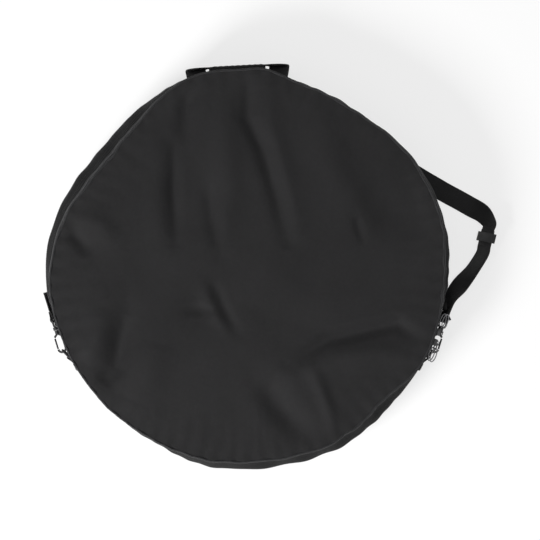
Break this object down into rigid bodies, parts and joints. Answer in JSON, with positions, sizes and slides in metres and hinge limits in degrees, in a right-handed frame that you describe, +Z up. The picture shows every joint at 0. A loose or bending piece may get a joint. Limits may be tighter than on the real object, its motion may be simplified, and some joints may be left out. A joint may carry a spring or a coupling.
{
  "type": "bicycle wheel bag",
  "caption": "Round padded bag for bicycle wheels, with zipped front and middle compartments, a carry handle and a detachable shoulder strap.",
  "frame": {"origin": "centre of the rear panel's underside, on the surface that the bag lies on", "axes": "+Z up from the rear panel to the front panel, +Y to the carry handle, +X to the side where the shoulder strap comes out"},
  "size_m": [0.871, 0.7712, 0.1378],
  "materials": {
    "shell_fabric": "matt coated plain weave",
    "lining_fabric": "grey coated lining",
    "piping_cloth": "bias tape over cord",
    "zip_tape": "woven tape with a nylon coil",
    "webbing": "ribbed flat webbing",
    "slider_metal": "black lacquered die casting",
    "loop_metal": "grey coated wire",
    "hardware": "black lacquer",
    "stiffener_board": "plastic board"
  },
  "bodies": {
    "bag": {"rear_panel": "shell_fabric", "rear_piping": "piping_cloth", "rear_gusset": "shell_fabric", "rear_gusset_stiffener": "stiffener_board", "rear_zip_tape_lower": "zip_tape", "rear_zip_end_left": "zip_tape", "rear_zip_end_right": "zip_tape", "front_zip_end_left": "zip_tape", "front_zip_end_right": "zip_tape", "front_gusset_base": "shell_fabric", "divider_base": "lining_fabric", "front_panel_base": "shell_fabric", "front_piping_base": "piping_cloth", "side_tab_left": "webbing", "side_tab_right": "webbing", "strap_riser": "webbing", "strap_under": "webbing", "strap_outer": "webbing", "strap_turn": "webbing", "strap_lower": "webbing"},
    "middle_flap": {"divider_flap": "lining_fabric", "front_gusset_flap": "shell_fabric", "rear_zip_tape_upper": "zip_tape", "front_zip_tape_lower": "zip_tape", "handle_anchor_left": "webbing", "handle_anchor_right": "webbing"},
    "front_flap": {"front_panel_flap": "shell_fabric", "front_piping_flap": "piping_cloth", "front_zip_tape_upper": "zip_tape"},
    "handle_legs": {"handle_leg_left": "webbing", "handle_leg_right": "webbing"},
    "handle_bow": {"handle_webbing": "webbing", "handle_grip": "webbing"},
    "rear_slider_a_body": {"rear_slider_a": "slider_metal"},
    "rear_slider_b_body": {"rear_slider_b": "slider_metal"},
    "front_slider_a_body": {"front_slider_a": "slider_metal"},
    "front_slider_b_body": {"front_slider_b": "slider_metal"},
    "rear_slider_a_pull": {"rear_slider_a_tab": "slider_metal", "rear_slider_a_loop": "loop_metal"},
    "rear_slider_b_pull": {"rear_slider_b_tab": "slider_metal", "rear_slider_b_loop": "loop_metal"},
    "front_slider_a_pull": {"front_slider_a_tab": "slider_metal", "front_slider_a_loop": "loop_metal"},
    "front_slider_b_pull": {"front_slider_b_tab": "slider_metal", "front_slider_b_loop": "loop_metal"},
    "ring_left": {"d_ring_left": "hardware", "swivel_eye_left": "hardware", "strap_end_left": "webbing"},
    "ring_right": {"d_ring_right": "hardware", "swivel_eye_right": "hardware", "strap_end_right": "webbing"},
    "hook_left": {"snap_hook_left": "hardware"},
    "hook_right": {"snap_hook_right": "hardware"},
    "gate_left": {"hook_gate_left": "loop_metal"},
    "gate_right": {"hook_gate_right": "loop_metal"},
    "adjuster": {"strap_adjuster": "hardware"}
  },
  "joints": [
    {"name": "middle_flap_fold", "type": "hinge", "parent": "bag", "child": "middle_flap", "pos_m": [0, -0.09075, 0.13795], "axis": [-1, 0, 0], "range_deg": [-110, 0]},
    {"name": "front_flap_fold", "type": "hinge", "parent": "middle_flap", "child": "front_flap", "pos_m": [0, -0.09075, 0.13795], "axis": [1, 0, 0], "range_deg": [0, 170]},
    {"name": "handle_swing", "type": "hinge", "parent": "middle_flap", "child": "handle_legs", "pos_m": [-0.02022, 0.38587, 0.0817], "axis": [0.9986, 0.0523, 0], "range_deg": [0, 175]},
    {"name": "handle_unfold", "type": "hinge", "parent": "handle_legs", "child": "handle_bow", "pos_m": [-0.02029, 0.38722, 0.0157], "axis": [0.9986, 0.0523, 0], "range_deg": [-175, 0]},
    {"name": "rear_slider_a_run", "type": "hinge", "parent": "bag", "child": "rear_slider_a_body", "pos_m": [0, 0, 0.066], "axis": [0, 0, 1], "range_deg": [-1.4, 0]},
    {"name": "rear_slider_b_run", "type": "hinge", "parent": "bag", "child": "rear_slider_b_body", "pos_m": [0, 0, 0.066], "axis": [0, 0, -1], "range_deg": [-219, 0]},
    {"name": "front_slider_a_run", "type": "hinge", "parent": "bag", "child": "front_slider_a_body", "pos_m": [0, 0, 0.122], "axis": [0, 0, 1], "range_deg": [-1.4, 0]},
    {"name": "front_slider_b_run", "type": "hinge", "parent": "bag", "child": "front_slider_b_body", "pos_m": [0, 0, 0.122], "axis": [0, 0, 1], "range_deg": [0, 219]},
    {"name": "rear_slider_a_pull_swing", "type": "hinge", "parent": "rear_slider_a_body", "child": "rear_slider_a_pull", "pos_m": [0.35792, -0.1349, 0.066], "axis": [0, 0, 1], "range_deg": [0, 120]},
    {"name": "rear_slider_b_pull_swing", "type": "hinge", "parent": "rear_slider_b_body", "child": "rear_slider_b_pull", "pos_m": [0.36461, -0.11563, 0.066], "axis": [0, 0, 1], "range_deg": [-120, 0]},
    {"name": "front_slider_a_pull_swing", "type": "hinge", "parent": "front_slider_a_body", "child": "front_slider_a_pull", "pos_m": [0.35792, -0.1349, 0.122], "axis": [0, 0, 1], "range_deg": [0, 120]},
    {"name": "front_slider_b_pull_swing", "type": "hinge", "parent": "front_slider_b_body", "child": "front_slider_b_pull", "pos_m": [0.36461, -0.11563, 0.122], "axis": [0, 0, -1], "range_deg": [0, 120]},
    {"name": "ring_right_swing", "type": "hinge", "parent": "bag", "child": "ring_right", "pos_m": [0.34288, -0.16428, 0.036], "axis": [0, 0, -1], "range_deg": [0, 25]},
    {"name": "ring_left_swing", "type": "hinge", "parent": "bag", "child": "ring_left", "pos_m": [-0.34288, -0.16428, 0.036], "axis": [0, 0, 1], "range_deg": [0, 25]},
    {"name": "hook_right_swivel", "type": "hinge", "parent": "ring_right", "child": "hook_right", "pos_m": [0.35731, -0.15015, 0.036], "axis": [0.2957, 0.9553, 0], "range_deg": [-25, 25]},
    {"name": "hook_left_swivel", "type": "hinge", "parent": "ring_left", "child": "hook_left", "pos_m": [-0.35731, -0.15015, 0.036], "axis": [-0.2957, 0.9553, 0], "range_deg": [-25, 25]},
    {"name": "gate_right_press", "type": "hinge", "parent": "hook_right", "child": "gate_right", "pos_m": [0.37152, -0.12874, 0.036], "axis": [0, 0, -1], "range_deg": [0, 18], "stiffness_Nm_per_rad": 0.02},
    {"name": "gate_left_press", "type": "hinge", "parent": "hook_left", "child": "gate_left", "pos_m": [-0.37152, -0.12874, 0.036], "axis": [0, 0, 1], "range_deg": [0, 18], "stiffness_Nm_per_rad": 0.02},
    {"name": "adjuster_slide", "type": "slide", "parent": "bag", "child": "adjuster", "axis": [-0.242, -0.9703, 0], "range_m": [0, 0.018]}
  ],
  "couplings": [
    {"joint": "handle_unfold", "follows": "handle_swing", "ratio": -1}
  ]
}
